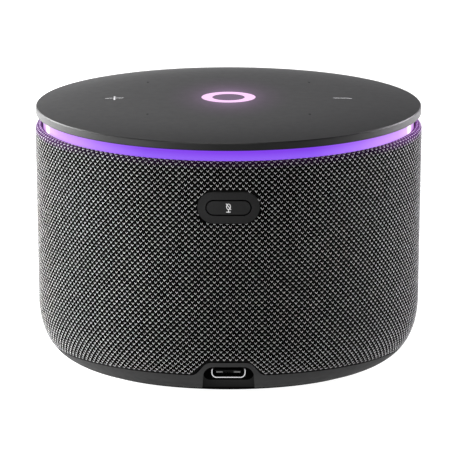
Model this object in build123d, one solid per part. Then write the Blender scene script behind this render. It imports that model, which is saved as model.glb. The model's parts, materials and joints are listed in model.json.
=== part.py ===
from build123d import *

import os
from math import atan2, cos, pi, radians, sin, tan

# Compact round smart speaker, standing on a table. Millimetres, +Z up, origin at the centre of
# the foot's underside. The side with the mute key and the power inlet faces -Y.

# ---------------------------------------------------------------- driving dimensions

# Outside of the drum: a slightly tapered wall that rolls under to the foot in one curve.
TOP_RADIUS = 51.2
SHOULDER_RADIUS = 50.34
SHOULDER_Z = 18.1
FABRIC_TOP_Z = 63.94
FABRIC_BOTTOM_Z = 5.72
FOOT_RADIUS = 37.3
ROLL_END_ANGLE = radians(15.2)
ROLL_UPPER_HANDLE = 12.3
ROLL_LOWER_HANDLE = 7.45
FAR = 80.0

# Wall thicknesses and gaps
FABRIC_THICKNESS = 1.2
SHELL_INSET = 1.3
SHELL_WALL = 1.8
FIT_GAP = 0.1
LOOSE_GAP = 0.3
FABRIC_RIM_RADIUS = 1.1
CUT_START = 30.0

# Touch plate
PLATE_RADIUS = 51.05
PLATE_CHAMFER = 0.25
PLATE_UNDER_Z = 66.89
PLATE_RIM_Z = 69.01
PLATE_TOP_Z = 71.06
PLATE_POCKET_RADIUS = 43.0
PLATE_POCKET_Z = 68.35
INLAY_FLOOR_Z = 70.35
MARK_OFFSET = 30.2
MARK_LENGTH = 4.9
MARK_WIDTH = 0.47
STATUS_OUTER_RADIUS = 7.15
STATUS_INNER_RADIUS = 4.3
STATUS_FLOOR_Z = 70.1
MIC_OFFSET = 21.4
MIC_HOLE_RADIUS = 0.35
GUIDE_RADIUS = 0.9
GUIDE_COUNT = 4
GUIDE_START_ANGLE = 45

# Boards and light parts under the plate
ADHESIVE_THICKNESS = 0.3
TOUCH_BOARD_RADIUS = 41.5
TOUCH_BOARD_THICKNESS = 1.0
TOUCH_BOARD_TOP_Z = PLATE_POCKET_Z - ADHESIVE_THICKNESS
TOUCH_BOARD_UNDER_Z = TOUCH_BOARD_TOP_Z - TOUCH_BOARD_THICKNESS
LIGHT_RING_RADIUS = 49.1
LIGHT_RING_INNER_RADIUS = 42.4
LIGHT_RING_WALL = 1.5
LIGHT_RING_WEB = 1.4
LIGHT_RING_TOP_Z = 66.8
SHELL_TOP_Z = 62.7
CARRIER_RADIUS = 47.7
CARRIER_TOP_Z = 62.3
CARRIER_THICKNESS = 1.6
LEDGE_RADIUS = 46.0
LEDGE_THICKNESS = 1.5
TOP_BOSS_CIRCLE = 36.0
TOP_BOSS_RADIUS = 2.4
TOP_BOSS_COUNT = 4
TOP_BOSS_START_ANGLE = 22.5
TOP_SCREW_LENGTH = 6.0
ADHESIVE_MARGIN = 1.0
SOUND_HOLE_RADIUS = 0.6
LAMP_HOLE_RADIUS = 0.95
MIC_CAPSULE = (3.5, 2.6, 1.0)
RING_LAMP = (1.0, 2.2, 0.9)
RING_LAMP_INSET = 0.8
RING_LAMP_COUNT = 12
STATUS_LAMP = (2.0, 2.0, 0.7)
REFLECTOR_WALL = 1.5
REFLECTOR_GAP = 0.4

# Flat cable from the touch board down to the main board
RIBBON_WIDTH = 8.0
RIBBON_THICKNESS = 0.3
RIBBON_DROP_Y = 16.0
RIBBON_TAB = 3.0
RIBBON_LOWER_TAB = 4.0
RIBBON_SLOT_LENGTH = 11.0
RIBBON_SLOT_WIDTH = 7.0

# Sound slots in the shell
SLOT_ROWS = (16.0, 27.5, 39.0, 50.5)
SLOT_COUNT = 40
SLOT_WIDTH = 2.0
SLOT_HEIGHT = 8.5
SLOT_RADIUS = 48.0
SLOT_DEPTH = 9.0
SLOT_FREE_HALF_ANGLE = 15

# Mute key on the -Y side
MUTE_Z = 51.57
BEZEL_LENGTH = 16.4
BEZEL_HEIGHT = 8.4
BEZEL_INSET = 0.45
BEZEL_STEM_TRIM = 2.0
BEZEL_BACK_Y = 47.4
BUTTON_HOLE_LENGTH = 12.2
BUTTON_HOLE_HEIGHT = 4.3
BUTTON_GAP = 0.36
BUTTON_FLANGE_EXTRA = 1.2
BUTTON_FLANGE_FRONT_Y = 47.2
BUTTON_FLANGE_BACK_Y = 46.4
SWITCH_FRONT_Y = 45.7
SWITCH_BACK_Y = 44.2
MUTE_BOARD_BACK_Y = 43.4
PLUNGER_RADIUS = 0.8
PLUNGER_TIP_Y = 45.0
SWITCH_LENGTH = 5.2
SWITCH_HEIGHT = 3.4
SWITCH_WELL = 0.7
MUTE_BOARD_LENGTH = 13.0
MUTE_BOARD_HEIGHT = 7.0
STEM_INSET = 1.0
ICON_DEPTH = 0.2
ICON_STROKE = 0.21

# Cable notch and power inlet on the -Y side
NOTCH_TOP_HALF_WIDTH = 6.5
NOTCH_FOOT_HALF_WIDTH = 6.95
NOTCH_TOP_Z = 8.4
NOTCH_CORNER_RADIUS = 2.8
NOTCH_BACK_Y = 38.2
TAB_TOP_HALF_WIDTH = 5.8
TAB_FOOT_HALF_WIDTH = 8.85
TAB_TOP_Z = 9.6
TAB_TOP_CORNER_RADIUS = 2.6
TAB_FOOT_CORNER_RADIUS = 2.6
TAB_BACK_Y = 36.4
SEAL_THICKNESS = 0.5
SEAL_UNDER_Z = 2.9
SEAL_CORNER_RADIUS = 1.9
USB_Z = 5.1
USB_LENGTH = 8.94
USB_HEIGHT = 3.16
USB_WALL = 0.22
USB_MOUTH_Y = 39.0
USB_BACK_Y = 31.7
TONGUE_WIDTH = 6.7
TONGUE_THICKNESS = 0.7
PAD_PLACES = (-2.4, 2.25)
PAD_LENGTH = 1.7
PAD_THICKNESS = 0.1
USB_CORNER_RADIUS = 1.3
USB_FLOOR = 1.6
TONGUE_RECESS = 0.8
USB_BOARD_LENGTH = 28.4
USB_BOARD_FRONT_Y = 36.3
USB_BOARD_BACK_Y = 24.4
USB_BOARD_THICKNESS = 0.8
USB_SCREW_X = 10.5
USB_SCREW_Y = 28.5
USB_SCREW_LENGTH = 3.0
USB_BOSS_RADIUS = 2.0

# Flat power cable from the inlet's board up to the main board
POWER_RIBBON_X = (9.0, 14.0)
POWER_RIBBON_THICKNESS = 0.4
POWER_RIBBON_START_Y = 33.0
POWER_RIBBON_BEND_Y = 36.0
POWER_RIBBON_RISER_Y = 43.0
POWER_RIBBON_END_Y = 32.0
POWER_RIBBON_OVER_TAB = 1.4

# Base
BASE_UNDER_Z = 0.9
BASE_WALL = 2.0
BASE_LEDGE_Z = 4.3
BASE_SPIGOT_TOP_Z = 8.5
SPIGOT_INNER_INSET = 5.0
LEDGE_INNER_RADIUS = 41.0
FOOT_INNER_RADIUS = 31.3
FOOT_THICKNESS = 1.8
PILLAR_CIRCLE = 35.0
PILLAR_RADIUS = 2.9
PILLAR_COUNT = 4
PILLAR_START_ANGLE = 45
HEAD_ROOM = 0.3
DIFFUSER_TIP_Z = 11.4
DIFFUSER_TIP_SKIN = 1.2
DIFFUSER_RADIUS = 24.0
DIFFUSER_LAND = 4.0
DIFFUSER_RIM = 0.9

# Sealed enclosure, with the driver in its floor
ENCLOSURE_RADIUS = 42.5
ENCLOSURE_WALL = 2.0
BAFFLE_UNDER_Z = 16.0
BAFFLE_TOP_Z = 18.5
GASKET_THICKNESS = 0.4
ENCLOSURE_TOP_Z = 54.0
ENCLOSURE_SCREW_CIRCLE = 37.8
ENCLOSURE_SCREW_COUNT = 6
ENCLOSURE_SCREW_START_ANGLE = 30
ENCLOSURE_SCREW_LENGTH = 9.0
ENCLOSURE_BOSS_RADIUS = 2.8
ENCLOSURE_BOSS_HEIGHT = 9.0
ENCLOSURE_PILOT_DEPTH = 7.0
STAND_OFF_RADIUS = 2.5
LEAD_PLACES = (-2.0, 2.0)
LEAD_Y = 30.0
LEAD_HOLE_RADIUS = 0.7
LEAD_RADIUS = 0.6
LEAD_BEND = 4.0
BAFFLE_OPENING_RADIUS = 28.9
BAFFLE_LIP_RADIUS = 26.8

# Driver
DRIVER_FLANGE_RADIUS = 31.5
DRIVER_FLANGE_UNDER_Z = 14.1
DRIVER_FLANGE_TOP_Z = 15.6
DRIVER_SCREW_CIRCLE = 29.6
COIL_RADIUS = 8.2
COIL_FORMER_WALL = 0.25
COIL_WINDING_RADIUS = 8.85
CONE_EDGE_RADIUS = 22.6
CONE_NECK_Z = 22.4
CONE_EDGE_Z = 14.3
CONE_SKIN = 0.6
DRIVER_SCREW_COUNT = 4
DRIVER_SCREW_LENGTH = 5.0
DRIVER_MOUTH_RADIUS = 26.2
DRIVER_SHOULDER_RADIUS = 27.6
BASKET_BACK_RADIUS = 19.6
BASKET_BACK_Z = 30.0
BASKET_SKIN = 1.2
BASKET_STEP_Z = 27.2
BASKET_NECK_RADIUS = 9.8
WINDOW_COUNT = 6
WINDOW_RADIUS = 23.0
WINDOW_Z = 21.0
WINDOW_SIZE = (14.0, 11.0, 6.5)
FRONT_PLATE_TOP_Z = 32.5
FRONT_PLATE_RADIUS = 16.0
GAP_OUTER_RADIUS = 9.2
MAGNET_TOP_Z = 38.5
MAGNET_RADIUS = 18.0
MAGNET_BORE = 10.5
YOKE_TOP_Z = 41.0
YOKE_RADIUS = 17.0
VENT_RADIUS = 2.0
POLE_RADIUS = 7.9
POLE_UNDER_Z = 29.5
FORMER_UNDER_Z = 21.5
FORMER_TOP_Z = 35.5
WINDING_UNDER_Z = 29.2
WINDING_TOP_Z = 33.3
CAP_SKIN = 0.4
CAP_BULGE = 2.2
SPIDER_Z = 27.4
SPIDER_SKIN = 0.3
SPIDER_RADIUS = 18.4
SPIDER_WAVES = 8
SPIDER_WAVE_HEIGHT = 0.5
SURROUND_SKIN = 0.4
SURROUND_LAND = 1.4
TERMINAL_Y = (19.6, 22.6)
TERMINAL_HALF_LENGTH = 4.0
TERMINAL_UNDER_Z = 28.9
BLADE_Y = (20.2, 22.0)
BLADE_HALF_WIDTH = 0.7
BLADE_HEIGHT = 2.4
LEAD_END_Z = 31.3
LEAD_END_Y = 22.0

# Passive radiators, one on each side along X
RADIATOR_Z = 36.0
RADIATOR_PAD_RADIUS = 17.0
RADIATOR_PAD_FACE_X = 42.6
RADIATOR_HOLE_RADIUS = 14.0
RADIATOR_PLATE_RADIUS = 11.0
RADIATOR_PAD_BACK_X = 37.0
RADIATOR_FRAME_RADIUS = 16.6
RADIATOR_FRAME_WALL = 2.0
RADIATOR_FRAME_HEIGHT = 1.2
RADIATOR_SEAT_RADIUS = 15.5
RADIATOR_SEAT_HEIGHT = 0.5
RADIATOR_PLATE_DEPTH = 0.8
RADIATOR_BOSS_RADIUS = 8.0
RADIATOR_BOSS_HEIGHT = 1.1
RADIATOR_ROLL_RADIUS = 13.2

# Main board on top of the enclosure
MAIN_BOARD_Z = 55.3
MAIN_BOARD_THICKNESS = 1.2
MAIN_BOARD_TOP_Z = MAIN_BOARD_Z + MAIN_BOARD_THICKNESS
MAIN_BOARD_RADIUS = 38.0
BOARD_SCREW_CIRCLE = 33.0
BOARD_SCREW_COUNT = 4
BOARD_SCREW_START_ANGLE = 45
BOARD_SCREW_LENGTH = 4.0
MAIN_BOARD_FLAT_Y = 36.5
SHIELD_WALL = 0.2
PROCESSOR_X = (-22, -2)
PROCESSOR_Y = (-12, 8)
PROCESSOR_HEIGHT = 2.2
RADIO_X = (7, 21)
RADIO_Y = (-20, -8)
RADIO_HEIGHT = 1.8
SPREADER_MARGIN = 2
SPREADER_THICKNESS = 0.8
FIN_COUNT = 5
FIN_THICKNESS = 0.8
FIN_HEIGHT = 0.8

# Screws: shank and head sizes of small self-tapping screws
SHANK_RADIUS = 0.9
HEAD_RADIUS = 1.8
HEAD_THICKNESS = 1.2
DRIVE_LENGTH = 1.8
DRIVE_WIDTH = 0.4
DRIVE_DEPTH = 0.4

NODES = {}

# ---------------------------------------------------------------- small helpers


def turned(*points):
    """Solid of revolution about Z from a closed outline of (radius, height) points."""
    return revolve(Plane.XZ * make_face(Polyline(*points, close=True)), Axis.Z)


def ring(inner, outer, low, high):
    """Plain ring, or a disc when the inner radius is 0."""
    return turned((inner, low), (outer, low), (outer, high), (inner, high))


def slab(low, high):
    """Everything between two heights."""
    return Pos(0, 0, (low + high) / 2) * Box(2 * FAR, 2 * FAR, high - low)


def block(x_low, x_high, y_low, y_high, z_low, z_high):
    """Box from its limits along each axis."""
    centre = Pos((x_low + x_high) / 2, (y_low + y_high) / 2, (z_low + z_high) / 2)
    return centre * Box(x_high - x_low, y_high - y_low, z_high - z_low)


def upright(sketch, near, far, z=0.0):
    """Extrude a sketch drawn in X and Z through the -Y side, from Y = -near out to Y = -far."""
    front = Plane(origin=(0, -near, z), x_dir=(1, 0, 0), z_dir=(0, -1, 0))
    return extrude(front * sketch, far - near)


def bore(radius, low, high):
    """Round bar on the axis between two heights, for holes and posts."""
    return Pos(0, 0, (low + high) / 2) * Cylinder(radius, high - low)


def chip(size, top):
    """Small board component, centred on the axis, that hangs from a height."""
    return Pos(0, 0, top - size[2] / 2) * Box(*size)


def pill(length, height, near, far, z):
    """Pill-shaped bar through the -Y side."""
    return upright(SlotOverall(length, height), near, far, z)


def round_y(radius, near, far, x, z):
    """Round pin along Y on the -Y side."""
    return upright(Pos(x, 0) * Circle(radius), near, far, z)


def each(locations, shape):
    """Copies of a shape at several locations, joined into one group."""
    return Compound([place * shape for place in locations])


def around(radius, count, start=0.0):
    """Locations evenly spaced round the axis."""
    return list(PolarLocations(radius, count, start_angle=start))


def screw(head_z, shank_length, upwards=True):
    """Pan-head screw on the axis: its head lies outside head_z and its shank inside."""
    way = 1 if upwards else -1
    head = Pos(0, 0, head_z - way * HEAD_THICKNESS / 2) * Cylinder(HEAD_RADIUS, HEAD_THICKNESS)
    shank = Pos(0, 0, head_z + way * shank_length / 2) * Cylinder(SHANK_RADIUS, shank_length)
    drive = Pos(0, 0, head_z - way * HEAD_THICKNESS) * Box(DRIVE_LENGTH, DRIVE_WIDTH, 2 * DRIVE_DEPTH)
    return head + shank - drive - Rot(0, 0, 90) * drive


def drum(inset):
    """Outside form of the body, moved inwards by inset: a leaning wall and one rolled corner."""
    lean = atan2(TOP_RADIUS - SHOULDER_RADIUS, FABRIC_TOP_Z - SHOULDER_Z)
    # The handles of an offset corner shorten with the angle that the corner turns through.
    turn = pi / 2 - ROLL_END_ANGLE - lean
    shorter = 4 / 3 * tan(turn / 4) * inset
    upper = ROLL_UPPER_HANDLE - shorter
    lower = ROLL_LOWER_HANDLE - shorter
    shoulder = (SHOULDER_RADIUS - inset, SHOULDER_Z)
    under_shoulder = (shoulder[0] - upper * sin(lean), shoulder[1] - upper * cos(lean))
    foot = (FOOT_RADIUS - inset * sin(ROLL_END_ANGLE), inset * cos(ROLL_END_ANGLE))
    over_foot = (foot[0] + lower * cos(ROLL_END_ANGLE), foot[1] + lower * sin(ROLL_END_ANGLE))
    outline = [
        Polyline(
            shoulder, (TOP_RADIUS - inset, FABRIC_TOP_Z), (0, FABRIC_TOP_Z), (0, foot[1]), foot
        ),
        Bezier(foot, over_foot, under_shoulder, shoulder),
    ]
    return revolve(Plane.XZ * make_face(outline), Axis.Z)


def keep(name, shape):
    """Store a finished piece under its node name."""
    NODES[name] = shape


# ---------------------------------------------------------------- touch plate and its marks


def plate_blank():
    """Touch plate before its holes: a flat-sided disc whose top bulges by a fourth power."""
    edge = PLATE_RADIUS - PLATE_CHAMFER
    quarter = edge / 4
    dome = Bezier(
        (0, PLATE_TOP_Z),
        (quarter, PLATE_TOP_Z),
        (2 * quarter, PLATE_TOP_Z),
        (3 * quarter, PLATE_TOP_Z),
        (edge, PLATE_RIM_Z),
    )
    sides = Polyline(
        (edge, PLATE_RIM_Z),
        (PLATE_RADIUS, PLATE_RIM_Z - PLATE_CHAMFER),
        (PLATE_RADIUS, PLATE_UNDER_Z + PLATE_CHAMFER),
        (edge, PLATE_UNDER_Z),
        (PLATE_POCKET_RADIUS, PLATE_UNDER_Z),
        (PLATE_POCKET_RADIUS, PLATE_POCKET_Z),
        (0, PLATE_POCKET_Z),
        (0, PLATE_TOP_Z),
    )
    return revolve(Plane.XZ * make_face([dome, sides]), Axis.Z)


def mic_places():
    """The four microphone positions."""
    return list(GridLocations(2 * MIC_OFFSET, 2 * MIC_OFFSET, 2, 2))


def guide_places():
    """The status ring's four light guides."""
    circle = (STATUS_OUTER_RADIUS + STATUS_INNER_RADIUS) / 2
    return around(circle, GUIDE_COUNT, GUIDE_START_ANGLE)


def top_boss_places():
    """Where the plate's four screw bosses stand."""
    return around(TOP_BOSS_CIRCLE, TOP_BOSS_COUNT, TOP_BOSS_START_ANGLE)


def make_plate():
    blank = plate_blank()
    bar = Box(MARK_LENGTH, MARK_WIDTH, 2 * (PLATE_TOP_Z - INLAY_FLOOR_Z))
    plus = blank & (Pos(-MARK_OFFSET, 0, PLATE_TOP_Z) * (bar + Rot(0, 0, 90) * bar))
    minus = blank & (Pos(MARK_OFFSET, 0, PLATE_TOP_Z) * bar)
    # The ring stands on short light guides, so the plate stays whole inside it.
    guide = bore(GUIDE_RADIUS, PLATE_POCKET_Z, STATUS_FLOOR_Z)
    status = blank & ring(STATUS_INNER_RADIUS, STATUS_OUTER_RADIUS, STATUS_FLOOR_Z, FAR)
    status = status + [place * guide for place in guide_places()]

    boss = ring(SHANK_RADIUS, TOP_BOSS_RADIUS, CARRIER_TOP_Z + FIT_GAP, PLATE_POCKET_Z + FIT_GAP)
    plate = blank + [place * boss for place in top_boss_places()]
    mic_hole = bore(MIC_HOLE_RADIUS, PLATE_UNDER_Z, FAR)
    plate = plate - [place * mic_hole for place in mic_places()]
    keep("top_plate", plate - plus - minus - status)
    keep("plus_mark", plus)
    keep("minus_mark", minus)
    keep("status_ring", status)


# ---------------------------------------------------------------- under the touch plate


def make_touch_stack():
    through = (TOUCH_BOARD_UNDER_Z - 1, PLATE_POCKET_Z + 1)
    boss_holes = [place * bore(TOP_BOSS_RADIUS + LOOSE_GAP, *through) for place in top_boss_places()]
    sound_holes = [place * bore(SOUND_HOLE_RADIUS, *through) for place in mic_places()]
    lamp_holes = [place * bore(LAMP_HOLE_RADIUS, *through) for place in guide_places()]

    adhesive_inner = STATUS_OUTER_RADIUS + ADHESIVE_MARGIN
    adhesive = ring(adhesive_inner, TOUCH_BOARD_RADIUS, TOUCH_BOARD_TOP_Z, PLATE_POCKET_Z)
    keep("touch_adhesive", adhesive - boss_holes - sound_holes)
    board = ring(0, TOUCH_BOARD_RADIUS, TOUCH_BOARD_UNDER_Z, TOUCH_BOARD_TOP_Z)
    keep("touch_board", board - boss_holes - sound_holes - lamp_holes)

    keep("mic_capsules", each(mic_places(), chip(MIC_CAPSULE, TOUCH_BOARD_UNDER_Z)))
    lamp_circle = TOUCH_BOARD_RADIUS - RING_LAMP_INSET
    ring_places = around(lamp_circle, RING_LAMP_COUNT)
    keep("ring_leds", each(ring_places, chip(RING_LAMP, TOUCH_BOARD_UNDER_Z)))
    keep("status_leds", each(guide_places(), chip(STATUS_LAMP, TOUCH_BOARD_UNDER_Z)))


def make_light_ring():
    """Diffuser: an upright band seen in the gap, fed by a flat web from the lamps."""
    web_z = LIGHT_RING_TOP_Z - LIGHT_RING_WEB
    band_inner = LIGHT_RING_RADIUS - LIGHT_RING_WALL
    keep(
        "light_ring",
        turned(
            (LIGHT_RING_INNER_RADIUS, web_z),
            (band_inner, web_z),
            (band_inner, SHELL_TOP_Z),
            (LIGHT_RING_RADIUS, SHELL_TOP_Z),
            (LIGHT_RING_RADIUS, LIGHT_RING_TOP_Z),
            (LIGHT_RING_INNER_RADIUS, LIGHT_RING_TOP_Z),
        ),
    )


def make_carrier():
    floor_z = CARRIER_TOP_Z - CARRIER_THICKNESS
    reflector_outer = LIGHT_RING_RADIUS - LIGHT_RING_WALL - REFLECTOR_GAP
    reflector_top = LIGHT_RING_TOP_Z - LIGHT_RING_WEB - FIT_GAP
    reflector = ring(reflector_outer - REFLECTOR_WALL, reflector_outer, CARRIER_TOP_Z, reflector_top)
    carrier = ring(0, CARRIER_RADIUS, floor_z, CARRIER_TOP_Z) + reflector
    shank_hole = bore(SHANK_RADIUS + FIT_GAP, floor_z - 1, CARRIER_TOP_Z + 1)
    carrier = carrier - [place * shank_hole for place in top_boss_places()]
    slot = Box(RIBBON_SLOT_LENGTH, RIBBON_SLOT_WIDTH, 2 * (CARRIER_THICKNESS + 1))
    carrier = carrier - Pos(0, RIBBON_DROP_Y, CARRIER_TOP_Z) * slot
    keep("top_carrier", carrier)
    keep("top_screws", each(top_boss_places(), screw(floor_z, TOP_SCREW_LENGTH)))


def make_touch_ribbon():
    """Flat cable: a tab under the touch board, a straight drop and a tab on the main board."""
    sides = (-RIBBON_WIDTH / 2, RIBBON_WIDTH / 2)
    flat = RIBBON_THICKNESS
    front = RIBBON_DROP_Y - flat
    upper_tab = (RIBBON_DROP_Y - RIBBON_TAB, RIBBON_DROP_Y)
    lower_tab = (front, RIBBON_DROP_Y + RIBBON_LOWER_TAB)
    cable = block(*sides, *upper_tab, TOUCH_BOARD_UNDER_Z - flat, TOUCH_BOARD_UNDER_Z)
    cable = cable + block(*sides, front, RIBBON_DROP_Y, MAIN_BOARD_TOP_Z, TOUCH_BOARD_UNDER_Z)
    cable = cable + block(*sides, *lower_tab, MAIN_BOARD_TOP_Z, MAIN_BOARD_TOP_Z + flat)
    keep("touch_ribbon", cable)


# ---------------------------------------------------------------- fabric and shell


def tab_outline(extra=0.0):
    """Raised arch of the base ring, drawn in X and Z, grown by extra on its top and flanks."""
    top = TAB_TOP_Z + extra
    ledge = FABRIC_BOTTOM_Z - FIT_GAP + extra
    top_half = TAB_TOP_HALF_WIDTH + extra / 2
    foot_half = TAB_FOOT_HALF_WIDTH + extra * 5 / 4
    wide_half = foot_half + 2 * TAB_FOOT_CORNER_RADIUS
    below = -BASE_WALL
    outline = Polyline(
        (-wide_half, below),
        (-wide_half, ledge),
        (-foot_half, ledge),
        (-top_half, top),
        (top_half, top),
        (foot_half, ledge),
        (wide_half, ledge),
        (wide_half, below),
        close=True,
    )
    face = make_face(outline)
    face = fillet(face.vertices().group_by(Axis.Y)[-1], TAB_TOP_CORNER_RADIUS + extra)
    on_ledge = face.vertices().group_by(Axis.Y)[1].sort_by(Axis.X)
    return fillet(on_ledge[1:3], TAB_FOOT_CORNER_RADIUS - extra)


def make_sleeve():
    skin = drum(0) - drum(FABRIC_THICKNESS)
    # The top edge folds over the shell's rim.
    hem = drum(0) & ring(LIGHT_RING_RADIUS + LOOSE_GAP, FAR, SHELL_TOP_Z + FIT_GAP, FAR)
    sleeve = (skin & slab(FABRIC_BOTTOM_Z, FAR)) + hem
    edge = sleeve.edges().group_by(Axis.Z)[-1].sort_by(lambda e: e.radius)[-1]
    sleeve = fillet(edge, FABRIC_RIM_RADIUS)
    sleeve = sleeve - upright(tab_outline(FIT_GAP), CUT_START, FAR)
    window = pill(BEZEL_LENGTH + 2 * FIT_GAP, BEZEL_HEIGHT + 2 * FIT_GAP, CUT_START, FAR, MUTE_Z)
    keep("fabric_sleeve", sleeve - window)


def make_shell():
    outside = drum(SHELL_INSET)
    wall = (outside - drum(SHELL_INSET + SHELL_WALL)) & slab(FABRIC_BOTTOM_Z + FIT_GAP, SHELL_TOP_Z)
    ledge_top = CARRIER_TOP_Z - CARRIER_THICKNESS
    ledge = outside & ring(LEDGE_RADIUS, FAR, ledge_top - LEDGE_THICKNESS, ledge_top)
    shell = wall + ledge
    # Upright slots let the sound out, except where the bezel is.
    slot = Box(SLOT_DEPTH, SLOT_WIDTH, SLOT_HEIGHT)
    slots = []
    for row_z in SLOT_ROWS:
        for index in range(SLOT_COUNT):
            angle = (index + 0.5) * 360 / SLOT_COUNT
            beside_bezel = row_z == SLOT_ROWS[-1] and abs(angle - 270) < SLOT_FREE_HALF_ANGLE
            if not beside_bezel:
                slots.append(Rot(0, 0, angle) * Pos(SLOT_RADIUS, 0, row_z) * slot)
    shell = shell - slots
    shell = shell - upright(tab_outline(FIT_GAP), CUT_START, FAR)
    stem_length = BEZEL_LENGTH - BEZEL_STEM_TRIM
    stem_height = BEZEL_HEIGHT - BEZEL_STEM_TRIM
    window = pill(stem_length + 2 * FIT_GAP, stem_height + 2 * FIT_GAP, CUT_START, FAR, MUTE_Z)
    keep("outer_shell", shell - window)


# ---------------------------------------------------------------- mute key


def icon_sketch():
    """Generic crossed microphone on a stand: capsule, stem, foot and a slash."""
    half_width, half_height, centre = 0.62, 0.83, 0.33
    hollow = Ellipse(half_width - ICON_STROKE, half_height - ICON_STROKE)
    capsule = Pos(0, centre) * (Ellipse(half_width, half_height) - hollow)
    stem_length, foot_length = 0.6, 1.2
    stem = Pos(0, centre - half_height - stem_length / 2) * Rectangle(ICON_STROKE, 1.1 * stem_length)
    foot = Pos(0, centre - half_height - stem_length) * Rectangle(foot_length, ICON_STROKE)
    slash_length, slash_angle = 2.1, -52
    slash = Pos(0, centre) * Rot(0, 0, slash_angle) * Rectangle(slash_length, ICON_STROKE)
    return capsule + stem + foot + slash


def make_mute_key():
    front = drum(BEZEL_INSET)
    head = pill(BEZEL_LENGTH, BEZEL_HEIGHT, BEZEL_BACK_Y, FAR, MUTE_Z) & front
    head = head - drum(SHELL_INSET - FIT_GAP)
    stem_length = BEZEL_LENGTH - BEZEL_STEM_TRIM
    stem_height = BEZEL_HEIGHT - BEZEL_STEM_TRIM
    stem = pill(stem_length, stem_height, BEZEL_BACK_Y, FAR, MUTE_Z) & drum(STEM_INSET)
    hole = pill(BUTTON_HOLE_LENGTH, BUTTON_HOLE_HEIGHT, CUT_START, FAR, MUTE_Z)
    keep("mute_bezel", head + stem - hole)

    face_length = BUTTON_HOLE_LENGTH - 2 * BUTTON_GAP
    face_height = BUTTON_HOLE_HEIGHT - 2 * BUTTON_GAP
    button = pill(face_length, face_height, BUTTON_FLANGE_FRONT_Y - FIT_GAP, FAR, MUTE_Z) & front
    flange_length = BUTTON_HOLE_LENGTH + BUTTON_FLANGE_EXTRA
    flange_height = BUTTON_HOLE_HEIGHT + BUTTON_FLANGE_EXTRA
    flange_depth = (BUTTON_FLANGE_BACK_Y, BUTTON_FLANGE_FRONT_Y)
    flange = pill(flange_length, flange_height, *flange_depth, MUTE_Z)
    skin = front - drum(BEZEL_INSET + ICON_DEPTH)
    icon = upright(icon_sketch(), CUT_START, FAR, MUTE_Z) & skin
    keep("mute_icon", icon)
    keep("mute_button", button + flange - icon)

    keep("mute_plunger", round_y(PLUNGER_RADIUS, PLUNGER_TIP_Y, BUTTON_FLANGE_BACK_Y, 0, MUTE_Z))
    switch = upright(Rectangle(SWITCH_LENGTH, SWITCH_HEIGHT), SWITCH_BACK_Y, SWITCH_FRONT_Y, MUTE_Z)
    well_floor = PLUNGER_TIP_Y - SWITCH_WELL
    well = round_y(PLUNGER_RADIUS + LOOSE_GAP, well_floor, SWITCH_FRONT_Y + 1, 0, MUTE_Z)
    keep("mute_switch", switch - well)
    board = Rectangle(MUTE_BOARD_LENGTH, MUTE_BOARD_HEIGHT)
    keep("mute_board", upright(board, MUTE_BOARD_BACK_Y, SWITCH_BACK_Y, MUTE_Z))


# ---------------------------------------------------------------- enclosure


def pillar_places():
    """Where the base's four pillars meet the baffle."""
    return around(PILLAR_CIRCLE, PILLAR_COUNT, PILLAR_START_ANGLE)


def enclosure_screw_places():
    """Screws that close the enclosure, clear of the radiators."""
    return around(ENCLOSURE_SCREW_CIRCLE, ENCLOSURE_SCREW_COUNT, ENCLOSURE_SCREW_START_ANGLE)


def board_screw_places():
    """Where the main board's four screws go."""
    return around(BOARD_SCREW_CIRCLE, BOARD_SCREW_COUNT, BOARD_SCREW_START_ANGLE)


def round_x(radius, x_low, x_high, z):
    """Round bar along X."""
    return Pos((x_low + x_high) / 2, 0, z) * Rot(0, 90, 0) * Cylinder(radius, x_high - x_low)


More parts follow.
